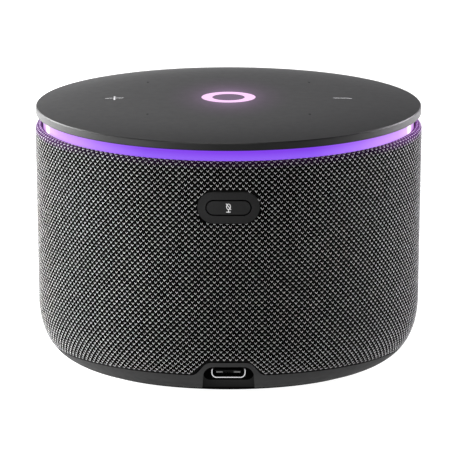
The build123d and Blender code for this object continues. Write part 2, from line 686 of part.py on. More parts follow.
def make_enclosure():
    inner = ENCLOSURE_RADIUS - ENCLOSURE_WALL
    can_floor = BAFFLE_TOP_Z + GASKET_THICKNESS
    ceiling = ENCLOSURE_TOP_Z - ENCLOSURE_WALL
    can = turned(
        (inner, can_floor),
        (ENCLOSURE_RADIUS, can_floor),
        (ENCLOSURE_RADIUS, ENCLOSURE_TOP_Z),
        (0, ENCLOSURE_TOP_Z),
        (0, ceiling),
        (inner, ceiling),
    )
    boss = bore(ENCLOSURE_BOSS_RADIUS, can_floor, can_floor + ENCLOSURE_BOSS_HEIGHT)
    can = can + [place * boss for place in enclosure_screw_places()]
    stand_off = bore(STAND_OFF_RADIUS, ENCLOSURE_TOP_Z, MAIN_BOARD_Z)
    can = can + [place * stand_off for place in board_screw_places()]
    for side in (-1, 1):
        low, high = sorted((RADIATOR_PAD_BACK_X * side, RADIATOR_PAD_FACE_X * side))
        can = can + round_x(RADIATOR_PAD_RADIUS, low, high, RADIATOR_Z)
        reach = ENCLOSURE_WALL * 3
        can = can - round_x(RADIATOR_HOLE_RADIUS, low - reach, high + reach, RADIATOR_Z)
    pilot = bore(SHANK_RADIUS, can_floor - 1, can_floor + ENCLOSURE_PILOT_DEPTH)
    can = can - [place * pilot for place in enclosure_screw_places()]
    board_pilot = bore(SHANK_RADIUS, ceiling - 1, MAIN_BOARD_Z + 1)
    can = can - [place * board_pilot for place in board_screw_places()]
    lead_hole = bore(LEAD_HOLE_RADIUS, ceiling - 1, ENCLOSURE_TOP_Z + 1)
    can = can - [Pos(x, LEAD_Y) * lead_hole for x in LEAD_PLACES]
    keep("enclosure_can", can)

    # The opening narrows upwards to a lip that clears the driver's basket.
    opening = turned(
        (0, BAFFLE_UNDER_Z),
        (BAFFLE_OPENING_RADIUS, BAFFLE_UNDER_Z),
        (BAFFLE_LIP_RADIUS, BAFFLE_TOP_Z),
        (0, BAFFLE_TOP_Z),
    )
    baffle = ring(0, ENCLOSURE_RADIUS, BAFFLE_UNDER_Z, BAFFLE_TOP_Z) - opening
    through = bore(SHANK_RADIUS, BAFFLE_UNDER_Z - 1, BAFFLE_TOP_Z + 1)
    places = enclosure_screw_places() + pillar_places() + driver_screw_places()
    keep("driver_baffle", baffle - [place * through for place in places])
    gasket = ring(inner + FIT_GAP, ENCLOSURE_RADIUS - FIT_GAP, BAFFLE_TOP_Z, can_floor)
    keep("enclosure_gasket", gasket)
    closing_screw = screw(BAFFLE_UNDER_Z, ENCLOSURE_SCREW_LENGTH)
    keep("enclosure_screws", each(enclosure_screw_places(), closing_screw))


# ---------------------------------------------------------------- driver, facing down


def driver_screw_places():
    """Four screws in the driver's flange."""
    return around(DRIVER_SCREW_CIRCLE, DRIVER_SCREW_COUNT)


def make_driver_frame():
    inner_step = BASKET_BACK_RADIUS - BASKET_SKIN
    frame = turned(
        (DRIVER_MOUTH_RADIUS, DRIVER_FLANGE_UNDER_Z),
        (DRIVER_FLANGE_RADIUS, DRIVER_FLANGE_UNDER_Z),
        (DRIVER_FLANGE_RADIUS, DRIVER_FLANGE_TOP_Z),
        (DRIVER_SHOULDER_RADIUS, DRIVER_FLANGE_TOP_Z),
        (BASKET_BACK_RADIUS, BASKET_STEP_Z),
        (BASKET_BACK_RADIUS, BASKET_BACK_Z),
        (BASKET_NECK_RADIUS, BASKET_BACK_Z),
        (BASKET_NECK_RADIUS, BASKET_BACK_Z - BASKET_SKIN),
        (inner_step, BASKET_BACK_Z - BASKET_SKIN),
        (inner_step, BASKET_STEP_Z - LOOSE_GAP),
        (DRIVER_MOUTH_RADIUS, DRIVER_FLANGE_TOP_Z),
    )
    window = Pos(WINDOW_RADIUS, 0, WINDOW_Z) * Box(*WINDOW_SIZE)
    step = 360 / WINDOW_COUNT
    frame = frame - [Rot(0, 0, (index + 0.5) * step) * window for index in range(WINDOW_COUNT)]
    flange_hole = bore(SHANK_RADIUS + FIT_GAP, DRIVER_FLANGE_UNDER_Z - 1, BAFFLE_UNDER_Z + 1)
    frame = frame - [place * flange_hole for place in driver_screw_places()]
    keep("driver_frame", frame)
    seal_inner = DRIVER_SHOULDER_RADIUS + 2 * FIT_GAP
    seal = ring(seal_inner, DRIVER_FLANGE_RADIUS, DRIVER_FLANGE_TOP_Z, BAFFLE_UNDER_Z)
    keep("driver_gasket", seal - [place * flange_hole for place in driver_screw_places()])
    flange_screw = screw(DRIVER_FLANGE_UNDER_Z, DRIVER_SCREW_LENGTH)
    keep("driver_screws", each(driver_screw_places(), flange_screw))


def make_driver_motor():
    front_plate = ring(GAP_OUTER_RADIUS, FRONT_PLATE_RADIUS, BASKET_BACK_Z, FRONT_PLATE_TOP_Z)
    keep("driver_front_plate", front_plate)
    keep("driver_magnet", ring(MAGNET_BORE, MAGNET_RADIUS, FRONT_PLATE_TOP_Z, MAGNET_TOP_Z))
    pole = ring(VENT_RADIUS, POLE_RADIUS, POLE_UNDER_Z, MAGNET_TOP_Z + FIT_GAP)
    keep("driver_yoke", ring(VENT_RADIUS, YOKE_RADIUS, MAGNET_TOP_Z, YOKE_TOP_Z) + pole)
    terminal_half = TERMINAL_HALF_LENGTH
    terminal = block(-terminal_half, terminal_half, *TERMINAL_Y, TERMINAL_UNDER_Z, BASKET_BACK_Z)
    blade_z = (BASKET_BACK_Z, BASKET_BACK_Z + BLADE_HEIGHT)
    half = BLADE_HALF_WIDTH
    blades = [block(x - half, x + half, *BLADE_Y, *blade_z) for x in LEAD_PLACES]
    keep("driver_terminals", terminal + blades)


def make_diaphragm():
    former_outer = COIL_RADIUS + COIL_FORMER_WALL
    former = ring(COIL_RADIUS, former_outer, FORMER_UNDER_Z, FORMER_TOP_Z)
    winding = ring(COIL_RADIUS, COIL_WINDING_RADIUS, WINDING_UNDER_Z, WINDING_TOP_Z)
    keep("voice_coil", former + winding)
    keep(
        "driver_cone",
        turned(
            (former_outer, CONE_NECK_Z),
            (former_outer, CONE_NECK_Z + CONE_SKIN),
            (CONE_EDGE_RADIUS, CONE_EDGE_Z + CONE_SKIN),
            (CONE_EDGE_RADIUS, CONE_EDGE_Z),
        ),
    )
    # The dust cap is a slice of a thin ball that closes the former's lower end.
    ball_radius = (former_outer**2 + CAP_BULGE**2) / (2 * CAP_BULGE)
    ball = Sphere(ball_radius) - Sphere(ball_radius - CAP_SKIN)
    ball = Pos(0, 0, FORMER_UNDER_Z + ball_radius - CAP_BULGE) * ball
    slice_room = ring(0, former_outer, FORMER_UNDER_Z - CAP_BULGE - 1, FORMER_UNDER_Z)
    keep("dust_cap", ball & slice_room)


def make_suspension():
    """Spider, with concentric waves between the coil former and the frame, and the surround."""
    former_outer = COIL_RADIUS + COIL_FORMER_WALL
    span = SPIDER_RADIUS - former_outer
    crests = []
    for index in range(SPIDER_WAVES + 1):
        lift = 0 if index in (0, SPIDER_WAVES) else SPIDER_WAVE_HEIGHT * (-1) ** index
        crests.append((former_outer + span * index / SPIDER_WAVES, SPIDER_Z + lift))
    upper_side = [(radius, height + SPIDER_SKIN) for radius, height in reversed(crests)]
    keep("spider", turned(*crests, *upper_side))
    surround = half_roll(CONE_EDGE_RADIUS, DRIVER_MOUTH_RADIUS, DRIVER_FLANGE_UNDER_Z, -1)
    keep("driver_surround", surround)


def half_roll(inner, outer, land_z, way):
    """Half-roll rubber ring between two flat lands, bulging along way."""
    skin = SURROUND_SKIN
    middle = (inner + outer) / 2
    roll = (outer - inner) / 2
    far_land = outer + SURROUND_LAND
    near_land = inner - SURROUND_LAND
    far_side = land_z + way * skin
    far_crest = (middle, far_side + way * (roll + skin))
    section = make_face(
        [
            Line((near_land, land_z), (inner, land_z)),
            ThreePointArc((inner, land_z), (middle, land_z + way * roll), (outer, land_z)),
            Line((outer, land_z), (far_land, land_z)),
            Line((far_land, land_z), (far_land, far_side)),
            Line((far_land, far_side), (outer + skin, far_side)),
            ThreePointArc((outer + skin, far_side), far_crest, (inner - skin, far_side)),
            Line((inner - skin, far_side), (near_land, far_side)),
            Line((near_land, far_side), (near_land, land_z)),
        ]
    )
    return revolve(Plane.XZ * section, Axis.Z)


# ---------------------------------------------------------------- passive radiators


def make_radiators():
    face = RADIATOR_PAD_FACE_X
    wall_inner = RADIATOR_FRAME_RADIUS - RADIATOR_FRAME_WALL
    frame = ring(wall_inner, RADIATOR_FRAME_RADIUS, 0, RADIATOR_FRAME_HEIGHT)
    frame = frame + ring(RADIATOR_HOLE_RADIUS, RADIATOR_SEAT_RADIUS, 0, RADIATOR_SEAT_HEIGHT)
    plate = ring(0, RADIATOR_PLATE_RADIUS, -RADIATOR_PLATE_DEPTH, RADIATOR_SEAT_HEIGHT)
    plate = plate + ring(0, RADIATOR_BOSS_RADIUS, 0, RADIATOR_BOSS_HEIGHT)
    surround = half_roll(RADIATOR_PLATE_RADIUS, RADIATOR_ROLL_RADIUS, RADIATOR_SEAT_HEIGHT, 1)
    pieces = {"frame": frame, "plate": plate, "surround": surround}
    # Each piece is made lying on its back and turned to face outwards along X.
    for side, turn in (("left", -90), ("right", 90)):
        x = face if side == "right" else -face
        for name, shape in pieces.items():
            keep(f"{side}_radiator_{name}", Pos(x, 0, RADIATOR_Z) * Rot(0, turn, 0) * shape)


# ---------------------------------------------------------------- electronics


def shield(x_limits, y_limits, height):
    """Drawn metal lid over parts of the main board, open below."""
    top = MAIN_BOARD_TOP_Z
    wall = SHIELD_WALL
    lid = block(*x_limits, *y_limits, top, top + height)
    room_x = (x_limits[0] + wall, x_limits[1] - wall)
    room_y = (y_limits[0] + wall, y_limits[1] - wall)
    return lid - block(*room_x, *room_y, top - 1, top + height - wall)


def make_electronics():
    board = ring(0, MAIN_BOARD_RADIUS, MAIN_BOARD_Z, MAIN_BOARD_TOP_Z)
    through = (MAIN_BOARD_Z - 1, MAIN_BOARD_TOP_Z + 1)
    shank_hole = bore(SHANK_RADIUS + FIT_GAP, *through)
    board = board - [place * shank_hole for place in board_screw_places()]
    lead_hole = bore(LEAD_HOLE_RADIUS, *through)
    board = board - [Pos(x, LEAD_Y) * lead_hole for x in LEAD_PLACES]
    # A flat edge towards the mute board
    board = board - block(-FAR, FAR, -FAR, -MAIN_BOARD_FLAT_Y, *through)
    keep("main_board", board)
    board_screw = screw(MAIN_BOARD_TOP_Z, BOARD_SCREW_LENGTH, upwards=False)
    keep("board_screws", each(board_screw_places(), board_screw))

    keep("processor_shield", shield(PROCESSOR_X, PROCESSOR_Y, PROCESSOR_HEIGHT))
    keep("radio_shield", shield(RADIO_X, RADIO_Y, RADIO_HEIGHT))
    x_limits = (PROCESSOR_X[0] - SPREADER_MARGIN, PROCESSOR_X[1] + SPREADER_MARGIN)
    y_low = PROCESSOR_Y[0] - SPREADER_MARGIN
    y_high = PROCESSOR_Y[1] + SPREADER_MARGIN
    low = MAIN_BOARD_TOP_Z + PROCESSOR_HEIGHT
    high = low + SPREADER_THICKNESS
    spreader = block(*x_limits, y_low, y_high, low, high)
    fin_step = (y_high - y_low - FIN_THICKNESS) / (FIN_COUNT - 1)
    for index in range(FIN_COUNT):
        y = y_low + index * fin_step
        spreader = spreader + block(*x_limits, y, y + FIN_THICKNESS, high, high + FIN_HEIGHT)
    keep("heat_spreader", spreader)

    wires = []
    for x in LEAD_PLACES:
        route = ((x, LEAD_Y, MAIN_BOARD_TOP_Z), (x, LEAD_Y, LEAD_END_Z), (x, LEAD_END_Y, LEAD_END_Z))
        path = FilletPolyline(*route, radius=LEAD_BEND)
        start = Plane(origin=route[0], z_dir=(0, 0, -1))
        wires.append(sweep(start * Circle(LEAD_RADIUS), path))
    keep("speaker_leads", Compound(wires))


# ---------------------------------------------------------------- base


def make_base():
    inner_top = BASE_UNDER_Z + BASE_WALL
    cup = drum(0) - (drum(BASE_WALL) & slab(inner_top, FAR))
    cup = cup & slab(BASE_UNDER_Z, FABRIC_BOTTOM_Z - FIT_GAP)
    hollow = drum(SPIGOT_INNER_INSET) + ring(0, LEDGE_INNER_RADIUS, inner_top, FAR)
    ledge = (drum(0) - hollow) & slab(BASE_LEDGE_Z, FABRIC_BOTTOM_Z - FIT_GAP)
    spigot_inset = SHELL_INSET + SHELL_WALL + FIT_GAP
    spigot = (drum(spigot_inset) - hollow) & slab(BASE_LEDGE_Z, BASE_SPIGOT_TOP_Z)
    tab = upright(tab_outline(), TAB_BACK_Y, FAR) & drum(0) & slab(BASE_UNDER_Z, FAR)
    base = cup + ledge + spigot + tab

    pillar = bore(PILLAR_RADIUS, inner_top, BAFFLE_UNDER_Z)
    base = base + [place * pillar for place in pillar_places()]
    usb_boss = bore(USB_BOSS_RADIUS, inner_top, usb_board_z())
    base = base + [place * usb_boss for place in usb_screw_places()]

    foot = ring(FOOT_INNER_RADIUS, FOOT_RADIUS, 0, FOOT_THICKNESS)
    base = base - foot
    base = base - upright(notch_outline(), NOTCH_BACK_Y, FAR)
    inlet = RectangleRounded(
        USB_LENGTH + 2 * LOOSE_GAP, USB_HEIGHT + 2 * LOOSE_GAP, USB_CORNER_RADIUS + LOOSE_GAP / 2
    )
    base = base - upright(inlet, CUT_START, FAR, USB_Z)
    head_z = FOOT_THICKNESS + HEAD_THICKNESS
    pillar_hole = bore(SHANK_RADIUS, -1, BAFFLE_TOP_Z)
    head_room = bore(HEAD_RADIUS + HEAD_ROOM, FOOT_THICKNESS, head_z)
    base = base - [place * (pillar_hole + head_room) for place in pillar_places()]
    usb_pilot = bore(SHANK_RADIUS, usb_board_z() - USB_SCREW_LENGTH, usb_board_z() + FIT_GAP)
    base = base - [place * usb_pilot for place in usb_screw_places()]
    keep("base_cover", base)
    keep("foot_ring", foot)
    shank_length = BAFFLE_TOP_Z - head_z - 0.5
    keep("base_screws", each(pillar_places(), screw(head_z, shank_length)))


def make_diffuser():
    """Cone on the base's floor that turns the driver's sound outwards."""
    low = BASE_UNDER_Z + BASE_WALL
    rim, land = DIFFUSER_RADIUS, DIFFUSER_RADIUS - DIFFUSER_LAND
    tip, under_tip = DIFFUSER_TIP_Z, DIFFUSER_TIP_Z - DIFFUSER_TIP_SKIN
    rim_top = low + DIFFUSER_RIM
    rise = tip - low
    section = make_face(
        [
            Polyline((0, under_tip), (0, tip)),
            Bezier((0, tip), (rim / 5, tip - rise / 5), (rim / 2, low + rise / 5), (rim, rim_top)),
            Polyline((rim, rim_top), (rim, low), (land, low)),
            Bezier((land, low), (land / 2, low), (land / 5, low + rise / 2), (0, under_tip)),
        ]
    )
    keep("diffuser_cone", revolve(Plane.XZ * section, Axis.Z))


def notch_outline():
    """Cable notch, drawn in X and Z: open below, with two rounded upper corners."""
    outline = Polyline(
        (-NOTCH_FOOT_HALF_WIDTH, 0),
        (-NOTCH_TOP_HALF_WIDTH, NOTCH_TOP_Z),
        (NOTCH_TOP_HALF_WIDTH, NOTCH_TOP_Z),
        (NOTCH_FOOT_HALF_WIDTH, 0),
        close=True,
    )
    face = make_face(outline)
    return fillet(face.vertices().group_by(Axis.Y)[-1], NOTCH_CORNER_RADIUS)


def usb_board_z():
    """Underside of the inlet's board, which lies on the receptacle's shell."""
    return USB_Z + USB_HEIGHT / 2


def usb_screw_places():
    """Two screws that hold the inlet's board down."""
    return [Pos(-USB_SCREW_X, -USB_SCREW_Y), Pos(USB_SCREW_X, -USB_SCREW_Y)]


def make_inlet_board():
    low, high = usb_board_z(), usb_board_z() + USB_BOARD_THICKNESS
    half = USB_BOARD_LENGTH / 2
    board = block(-half, half, -USB_BOARD_FRONT_Y, -USB_BOARD_BACK_Y, low, high)
    shank_hole = bore(SHANK_RADIUS + FIT_GAP, low - 1, high + 1)
    keep("usb_board", board - [place * shank_hole for place in usb_screw_places()])
    board_screw = screw(high, USB_SCREW_LENGTH, upwards=False)
    keep("usb_screws", each(usb_screw_places(), board_screw))


def make_inlet():
    outer = RectangleRounded(USB_LENGTH, USB_HEIGHT, USB_CORNER_RADIUS)
    inner = RectangleRounded(
        USB_LENGTH - 2 * USB_WALL, USB_HEIGHT - 2 * USB_WALL, USB_CORNER_RADIUS - USB_WALL
    )
    shell = upright(outer, USB_BACK_Y, USB_MOUTH_Y, USB_Z)
    shell = shell - upright(inner, USB_BACK_Y + USB_WALL, FAR, USB_Z)
    keep("usb_shell", shell)

    # Rubber seal round the inlet, on the notch's back wall.
    seal_height = NOTCH_TOP_Z - SEAL_UNDER_Z
    area = Pos(0, NOTCH_TOP_Z) * Rectangle(4 * NOTCH_FOOT_HALF_WIDTH, 2 * seal_height)
    seal = notch_outline() & area
    seal = fillet(seal.vertices().group_by(Axis.Y)[0], SEAL_CORNER_RADIUS)
    window = RectangleRounded(
        USB_LENGTH + 2 * FIT_GAP, USB_HEIGHT + 2 * FIT_GAP, USB_CORNER_RADIUS + FIT_GAP
    )
    seal = upright(seal, NOTCH_BACK_Y, NOTCH_BACK_Y + SEAL_THICKNESS)
    keep("inlet_seal", seal - upright(window, CUT_START, FAR, USB_Z))

    block_front = USB_BACK_Y + USB_FLOOR
    tongue_front = USB_MOUTH_Y - TONGUE_RECESS
    heel = upright(inner, USB_BACK_Y + USB_WALL, block_front, USB_Z)
    tongue_face = Rectangle(TONGUE_WIDTH, TONGUE_THICKNESS)
    tongue = upright(tongue_face, block_front - FIT_GAP, tongue_front, USB_Z)
    keep("usb_tongue", heel + tongue)
    pads = []
    for x in PAD_PLACES:
        # Metal pads on the tongue's front edge.
        sides = (x - PAD_LENGTH / 2, x + PAD_LENGTH / 2)
        front = (-tongue_front - PAD_THICKNESS, -tongue_front)
        pads.append(block(*sides, *front, USB_Z - TONGUE_THICKNESS / 2, USB_Z))
    keep("usb_contacts", Compound(pads))


def make_power_ribbon():
    """Flat cable: from the inlet's board, over the tab and up beside the enclosure."""
    flat = POWER_RIBBON_THICKNESS
    bend, riser = POWER_RIBBON_BEND_Y, POWER_RIBBON_RISER_Y
    low = usb_board_z() + USB_BOARD_THICKNESS
    middle = TAB_TOP_Z + POWER_RIBBON_OVER_TAB
    high = MAIN_BOARD_TOP_Z
    sides = POWER_RIBBON_X
    cable = block(*sides, -bend, -POWER_RIBBON_START_Y, low, low + flat)
    cable = cable + block(*sides, -bend, -bend + flat, low, middle + flat)
    cable = cable + block(*sides, -riser - flat, -bend + flat, middle, middle + flat)
    cable = cable + block(*sides, -riser - flat, -riser, middle, high + flat)
    cable = cable + block(*sides, -riser - flat, -POWER_RIBBON_END_Y, high, high + flat)
    keep("power_ribbon", cable)


def main():
    make_plate()
    make_touch_stack()
    make_light_ring()
    make_carrier()
    make_touch_ribbon()
    make_sleeve()
    make_shell()
    make_mute_key()
    make_enclosure()
    make_driver_frame()
    make_driver_motor()
    make_diaphragm()
    make_suspension()
    make_radiators()
    make_electronics()
    make_base()
    make_diffuser()
    make_inlet_board()
    make_inlet()
    make_power_ribbon()
    os.makedirs("parts", exist_ok=True)
    for name, shape in NODES.items():
        export_step(shape, f"parts/{name}.step")
    print(len(NODES), "nodes")


main()
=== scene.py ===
import json
import math

import bpy
import numpy as np
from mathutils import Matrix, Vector
from mathutils.bvhtree import BVHTree


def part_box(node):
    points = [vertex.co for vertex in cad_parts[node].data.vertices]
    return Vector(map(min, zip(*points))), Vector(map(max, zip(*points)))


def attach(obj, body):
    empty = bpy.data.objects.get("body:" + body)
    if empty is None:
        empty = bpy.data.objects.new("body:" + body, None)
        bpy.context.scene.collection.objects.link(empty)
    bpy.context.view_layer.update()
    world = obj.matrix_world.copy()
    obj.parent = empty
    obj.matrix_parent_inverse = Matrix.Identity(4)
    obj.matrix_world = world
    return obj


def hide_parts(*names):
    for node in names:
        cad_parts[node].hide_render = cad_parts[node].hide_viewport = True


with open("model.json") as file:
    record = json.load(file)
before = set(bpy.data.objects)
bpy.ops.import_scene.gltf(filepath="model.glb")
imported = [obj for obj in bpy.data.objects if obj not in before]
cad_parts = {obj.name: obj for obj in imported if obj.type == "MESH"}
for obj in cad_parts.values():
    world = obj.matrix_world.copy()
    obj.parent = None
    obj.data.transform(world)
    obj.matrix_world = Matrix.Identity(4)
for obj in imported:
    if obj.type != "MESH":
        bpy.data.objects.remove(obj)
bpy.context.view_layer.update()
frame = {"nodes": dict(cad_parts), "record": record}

# Compact round smart speaker: the looks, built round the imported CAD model. Metres, +Z up.
NODES = frame["nodes"]
MM = 0.001
SEED = 7

# ---------------------------------------------------------------- camera and light

VIEW_ELEVATION = math.radians(11.8)
VIEW_DISTANCE = 5.0
VIEW_WIDTH = 121.16 * MM
VIEW_TARGET_Z = 35.53 * MM
SENSOR_WIDTH = 36.0
CAMERA_REACH = 100.0
FLOOR_HALF = 6.0
LAMP_TARGET = (0, 0, 0.04)

# Each ramp: its two values, then the two places between which it runs.
# Strength of the surroundings: dark on the camera's side, brighter behind and at the left.
SURROUNDINGS_TINT = (0.98, 0.98, 1.0, 1.0)
SURROUNDINGS_BY_Y = (0.055, 0.34, -0.7, 0.5)
SURROUNDINGS_BY_X = (1.75, 0.42, -0.6, 0.6)

# Glow of the floor in metres: far left, far right, close at the left, and towards the camera.
FLOOR_LEFT = (3.0, 1.0, -0.5, -0.12)
FLOOR_RIGHT = (0.0, 1.2, 0.13, 0.5)
FLOOR_CLOSE = (1.0, 0.0, -0.06, -0.02)
FLOOR_FRONT = (0.3, 1.0, -0.35, -0.14)


def make_camera():
    """Long lens from a little above, on the side with the mute key and the inlet."""
    data = bpy.data.cameras.new("camera")
    data.sensor_width = SENSOR_WIDTH
    data.lens = SENSOR_WIDTH * VIEW_DISTANCE / VIEW_WIDTH
    data.clip_end = CAMERA_REACH
    camera = bpy.data.objects.new("camera", data)
    bpy.context.scene.collection.objects.link(camera)
    back = Vector((0, -math.cos(VIEW_ELEVATION), math.sin(VIEW_ELEVATION)))
    camera.location = Vector((0, 0, VIEW_TARGET_Z)) + back * VIEW_DISTANCE
    camera.rotation_mode = "QUATERNION"
    camera.rotation_quaternion = (-back).to_track_quat("-Z", "Y")
    bpy.context.scene.camera = camera


def area_light(name, place, size, power, colour=(1.0, 1.0, 1.0)):
    """Soft rectangular lamp that points at the speaker."""
    data = bpy.data.lights.new(name, "AREA")
    data.shape = "RECTANGLE"
    data.size, data.size_y = size
    data.energy = power
    data.color = colour
    lamp = bpy.data.objects.new(name, data)
    bpy.context.scene.collection.objects.link(lamp)
    lamp.location = place
    aim = Vector(LAMP_TARGET) - Vector(place)
    lamp.rotation_mode = "QUATERNION"
    lamp.rotation_quaternion = aim.to_track_quat("-Z", "Y")


def maths(tree, operation="ADD"):
    """Node that joins two numbers."""
    node = tree.nodes.new("ShaderNodeMath")
    node.operation = operation
    return node


def make_surroundings():
    """Grey surroundings, graded from side to side and from front to back."""
    world = bpy.data.worlds.new("studio")
    bpy.context.scene.world = world
    world.use_nodes = True
    tree = world.node_tree
    background = tree.nodes["Background"]
    background.inputs["Color"].default_value = SURROUNDINGS_TINT
    strength = maths(tree, "MULTIPLY")
    ramp_to(tree, along(tree, "Y", "Generated"), strength.inputs[0], *SURROUNDINGS_BY_Y)
    ramp_to(tree, along(tree, "X", "Generated"), strength.inputs[1], *SURROUNDINGS_BY_X)
    tree.links.new(strength.outputs["Value"], background.inputs["Strength"])


def make_floor():
    """Pale paper floor that glows towards its sides and dims towards the camera."""
    mesh = bpy.data.meshes.new("floor")
    half = FLOOR_HALF
    corners = [(-half, -half, 0), (half, -half, 0), (half, half, 0), (-half, half, 0)]
    mesh.from_pydata(corners, [], [(0, 1, 2, 3)])
    floor = bpy.data.objects.new("floor", mesh)
    bpy.context.scene.collection.objects.link(floor)
    material, tree, shader = new_material("floor_paper")
    mottle = noise(tree, 3.0, detail=2.0)
    ramp_to(tree, mottle, shader.inputs["Base Color"], (0.14,) * 3, (0.16,) * 3)
    ramp_to(tree, mottle, shader.inputs["Emission Color"], (0.98,) * 3, (1.0,) * 3)
    shader.inputs["Roughness"].default_value = 0.9

    place = along(tree, "X")
    sides = maths(tree)
    ramp_to(tree, place, sides.inputs[0], *FLOOR_LEFT)
    ramp_to(tree, place, sides.inputs[1], *FLOOR_RIGHT)
    total = maths(tree)
    tree.links.new(sides.outputs["Value"], total.inputs[0])
    ramp_to(tree, place, total.inputs[1], *FLOOR_CLOSE)
    strength = maths(tree, "MULTIPLY")
    tree.links.new(total.outputs["Value"], strength.inputs[0])
    ramp_to(tree, along(tree, "Y"), strength.inputs[1], *FLOOR_FRONT)
    tree.links.new(strength.outputs["Value"], shader.inputs["Emission Strength"])
    mesh.materials.append(material)


def make_studio():
    """Pale floor, grey surroundings and soft lamps at both sides, above and in front."""
    bpy.context.scene.view_settings.view_transform = "Standard"
    make_surroundings()
    make_floor()
    area_light("left_lamp", (-0.82, 0.40, 0.32), (1.0, 0.7), 34.0)
    area_light("right_lamp", (0.80, 0.48, 0.28), (0.8, 0.6), 22.5, (0.97, 0.93, 1.0))
    area_light("back_panel", (-1.5, 3.2, 0.9), (3.2, 1.6), 5.2)
    area_light("top_lamp", (-0.1, -0.25, 1.0), (0.5, 0.35), 2.7)
    area_light("front_lamp", (-0.80, -0.60, 0.14), (0.4, 0.3), 2.6)


# ---------------------------------------------------------------- material helpers


def new_material(name):
    """Material with one shader, its node tree and that shader."""
    material = bpy.data.materials.new(name)
    material.use_nodes = True
    tree = material.node_tree
    return material, tree, tree.nodes["Principled BSDF"]


def noise(tree, scale, detail=3.0, roughness=0.55):
    """Fractal noise over the piece's own coordinates, in features per metre."""
    coords = tree.nodes.new("ShaderNodeTexCoord")
    texture = tree.nodes.new("ShaderNodeTexNoise")
    texture.inputs["Scale"].default_value = scale
    texture.inputs["Detail"].default_value = detail
    texture.inputs["Roughness"].default_value = roughness
    tree.links.new(coords.outputs["Object"], texture.inputs["Vector"])
    return texture.outputs["Fac"]


def ramp_to(tree, value, socket, low, high, start=0.3, end=0.7):
    """Drive a colour or number socket from a value, between two colours or numbers."""
    if isinstance(low, tuple):
        ramp = tree.nodes.new("ShaderNodeValToRGB")
        ramp.color_ramp.elements[0].position = start
        ramp.color_ramp.elements[0].color = (*low, 1.0)
        ramp.color_ramp.elements[1].position = end
        ramp.color_ramp.elements[1].color = (*high, 1.0)
        tree.links.new(value, ramp.inputs["Fac"])
        tree.links.new(ramp.outputs["Color"], socket)
        return
    spread = tree.nodes.new("ShaderNodeMapRange")
    spread.inputs["From Min"].default_value = start
    spread.inputs["From Max"].default_value = end
    spread.inputs["To Min"].default_value = low
    spread.inputs["To Max"].default_value = high
    tree.links.new(value, spread.inputs["Value"])
    tree.links.new(spread.outputs["Result"], socket)


def bump(tree, shader, height, distance):
    """Bump from a height value, with its depth in metres."""
    node = tree.nodes.new("ShaderNodeBump")
    node.inputs["Distance"].default_value = distance
    node.inputs["Strength"].default_value = 1.0
    tree.links.new(height, node.inputs["Height"])
    tree.links.new(node.outputs["Normal"], shader.inputs["Normal"])


def darker(colour, share):
    """A colour scaled towards black."""
    return tuple(channel * share for channel in colour)


def moulded(name, colour, rough=0.5, grain=9000.0, depth=0.004 * MM, vary=0.12, shine=0.5):
    """Moulded plastic: spark-eroded grain, slight mottling and uneven gloss."""
    material, tree, shader = new_material(name)
    mottle = noise(tree, 180.0, detail=4.0)
    ramp_to(tree, mottle, shader.inputs["Base Color"], darker(colour, 1 - vary), colour)
    gloss = noise(tree, 650.0, detail=2.0)
    ramp_to(tree, gloss, shader.inputs["Roughness"], rough - 0.06, rough + 0.06)
    shader.inputs["Specular IOR Level"].default_value = shine
    bump(tree, shader, noise(tree, grain, detail=2.0), depth)
    return material


def metal(name, colour, rough=0.3, brushed=(1.0, 1.0, 1.0)):
    """Metal with fine streaks, drawn out along any axis whose brushed scale is small."""
    material, tree, shader = new_material(name)
    shader.inputs["Metallic"].default_value = 1.0
    coords = tree.nodes.new("ShaderNodeTexCoord")
    stretch = tree.nodes.new("ShaderNodeMapping")
    stretch.inputs["Scale"].default_value = brushed
    texture = tree.nodes.new("ShaderNodeTexNoise")
    texture.inputs["Scale"].default_value = 4000.0
    texture.inputs["Detail"].default_value = 3.0
    tree.links.new(coords.outputs["Object"], stretch.inputs["Vector"])
    tree.links.new(stretch.outputs["Vector"], texture.inputs["Vector"])
    streaks = texture.outputs["Fac"]
    ramp_to(tree, streaks, shader.inputs["Base Color"], darker(colour, 0.8), colour)
    ramp_to(tree, streaks, shader.inputs["Roughness"], rough - 0.08, rough + 0.1)
    bump(tree, shader, streaks, 0.002 * MM)
    return material


def colour_ramp(tree, value, socket, stops):
    """Drive a colour socket through a ramp of (position, colour) stops."""
    ramp = tree.nodes.new("ShaderNodeValToRGB")
    points = ramp.color_ramp.elements
    points[0].position, points[0].color = stops[0][0], (*stops[0][1], 1.0)
    points[1].position, points[1].color = stops[-1][0], (*stops[-1][1], 1.0)
    for position, colour in stops[1:-1]:
        points.new(position).color = (*colour, 1.0)
    tree.links.new(value, ramp.inputs["Fac"])
    tree.links.new(ramp.outputs["Color"], socket)


def along(tree, axis, space="Object"):
    """One of the piece's own coordinates, or of the direction looked in for the world."""
    coords = tree.nodes.new("ShaderNodeTexCoord")
    split = tree.nodes.new("ShaderNodeSeparateXYZ")
    tree.links.new(coords.outputs[space], split.inputs["Vector"])
    return split.outputs[axis]


def weighted_distance(tree, weights):
    """Distance from the piece's origin after scaling each axis by its weight."""
    coords = tree.nodes.new("ShaderNodeTexCoord")
    scaled = tree.nodes.new("ShaderNodeVectorMath")
    scaled.operation = "MULTIPLY"
    scaled.inputs[1].default_value = weights
    length = tree.nodes.new("ShaderNodeVectorMath")
    length.operation = "LENGTH"
    tree.links.new(coords.outputs["Object"], scaled.inputs[0])
    tree.links.new(scaled.outputs["Vector"], length.inputs[0])
    return length.outputs["Value"]


